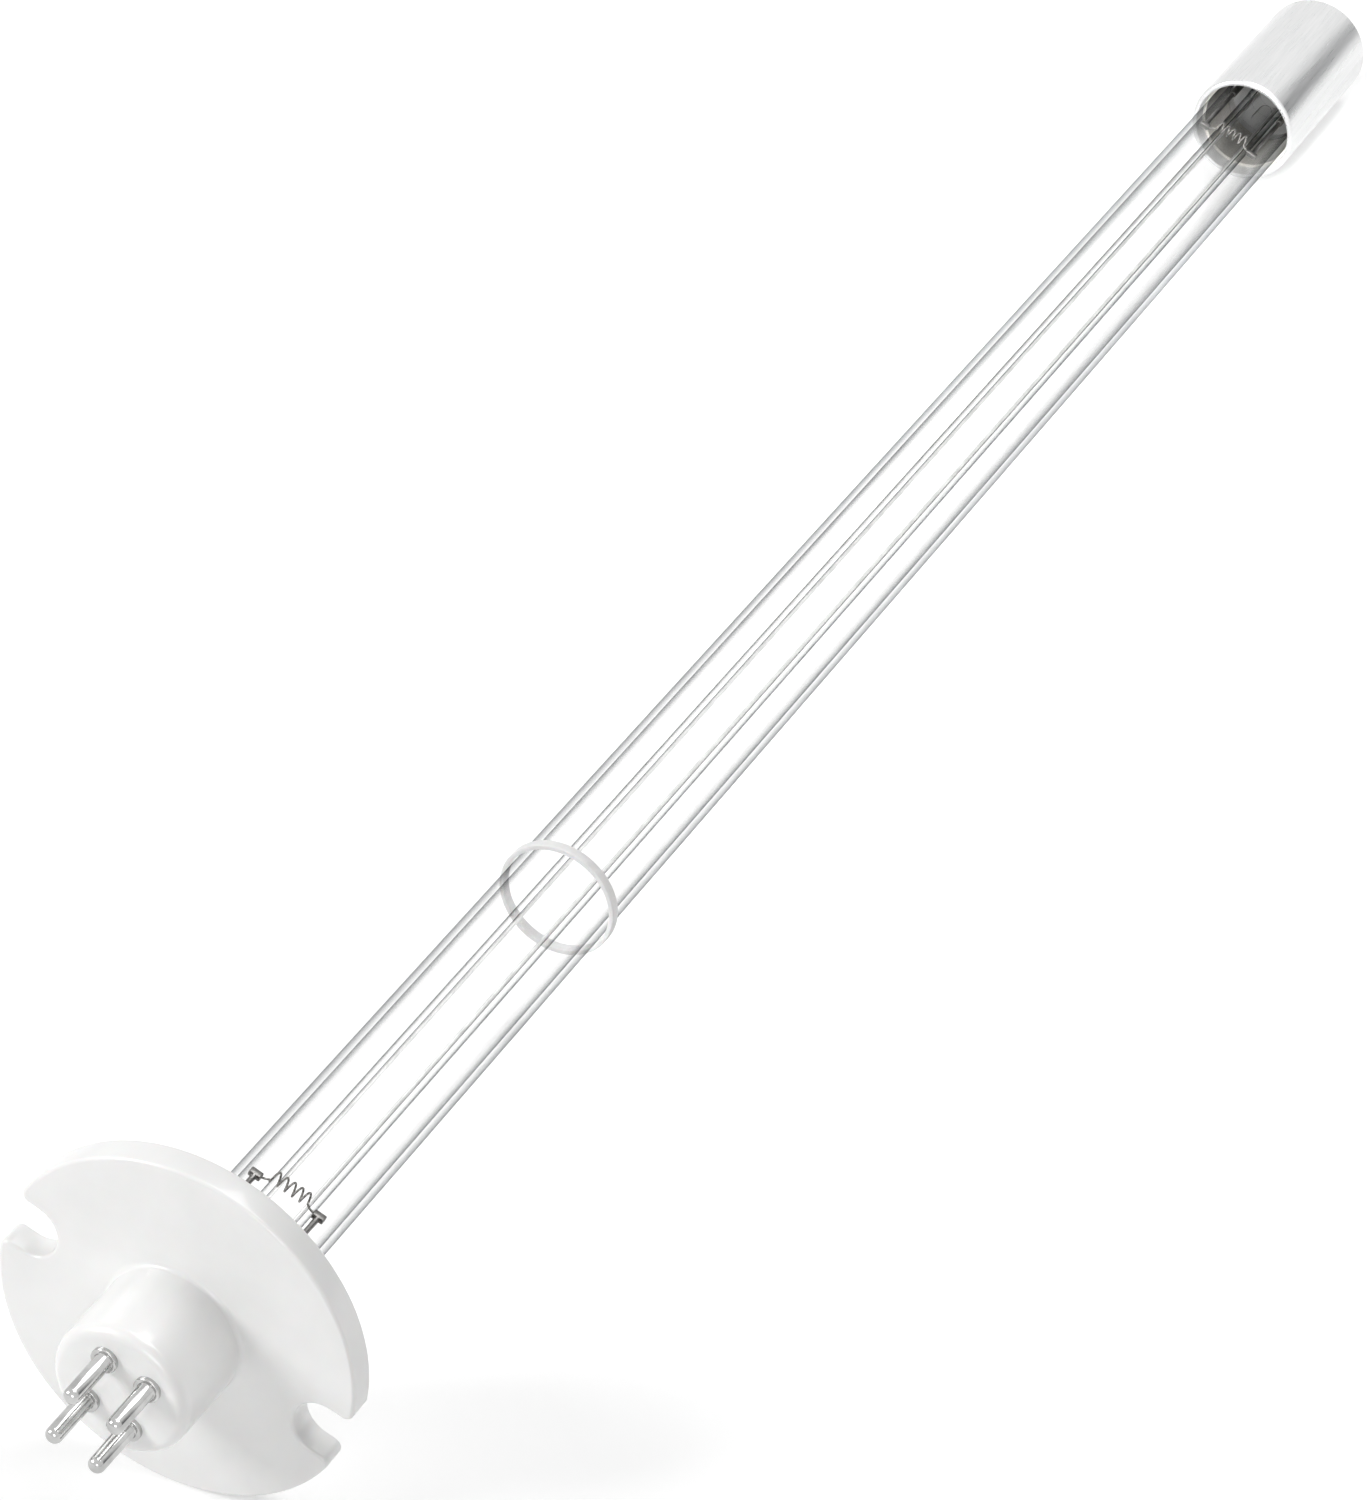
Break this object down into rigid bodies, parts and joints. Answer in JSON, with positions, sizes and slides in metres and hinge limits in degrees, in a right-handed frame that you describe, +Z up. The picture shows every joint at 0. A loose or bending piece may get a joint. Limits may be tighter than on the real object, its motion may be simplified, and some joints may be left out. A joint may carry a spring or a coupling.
{
  "type": "uvc germicidal lamp tube",
  "caption": "Straight germicidal quartz lamp with a notched round ceramic flange, contact pins, an inner return tube, end filaments, a support ring and a metal cap.",
  "frame": {"origin": "centre of the bounding box, at the height of the surface that the lamp lies on", "axes": "+X from the pins towards the cap (the lamp's own axis leans down towards the cap by 2.2 degrees, because it lies on the flange rim and the cap rim), +Y to the back, +Z up"},
  "size_m": [0.432, 0.0508, 0.0509],
  "materials": {
    "ceramic": "white glaze",
    "pin_nickel": "bright nickel plate",
    "quartz": "clear fused quartz",
    "cement": "matte basing cement",
    "post_nickel": "drawn nickel wire",
    "tungsten": "coated tungsten coil",
    "sleeve_nickel": "crimped nickel",
    "cap_metal": "satin, pale",
    "ring_white": "white fluoropolymer"
  },
  "bodies": {
    "root": {"ceramic_base": "ceramic", "contact_pin_1": "pin_nickel", "contact_pin_2": "pin_nickel", "contact_pin_3": "pin_nickel", "contact_pin_4": "pin_nickel", "outer_tube": "quartz", "inner_tube": "quartz", "base_stem": "quartz", "cap_stem": "quartz", "base_cement": "cement", "cap_cement": "cement", "base_post_left": "post_nickel", "base_post_right": "post_nickel", "cap_post_left": "post_nickel", "cap_post_right": "post_nickel", "base_filament": "tungsten", "cap_filament": "tungsten", "return_wire_left": "post_nickel", "return_wire_right": "post_nickel", "crimp_sleeve_left": "sleeve_nickel", "crimp_sleeve_right": "sleeve_nickel", "end_cap": "cap_metal", "tube_ring": "ring_white"}
  },
  "joints": []
}
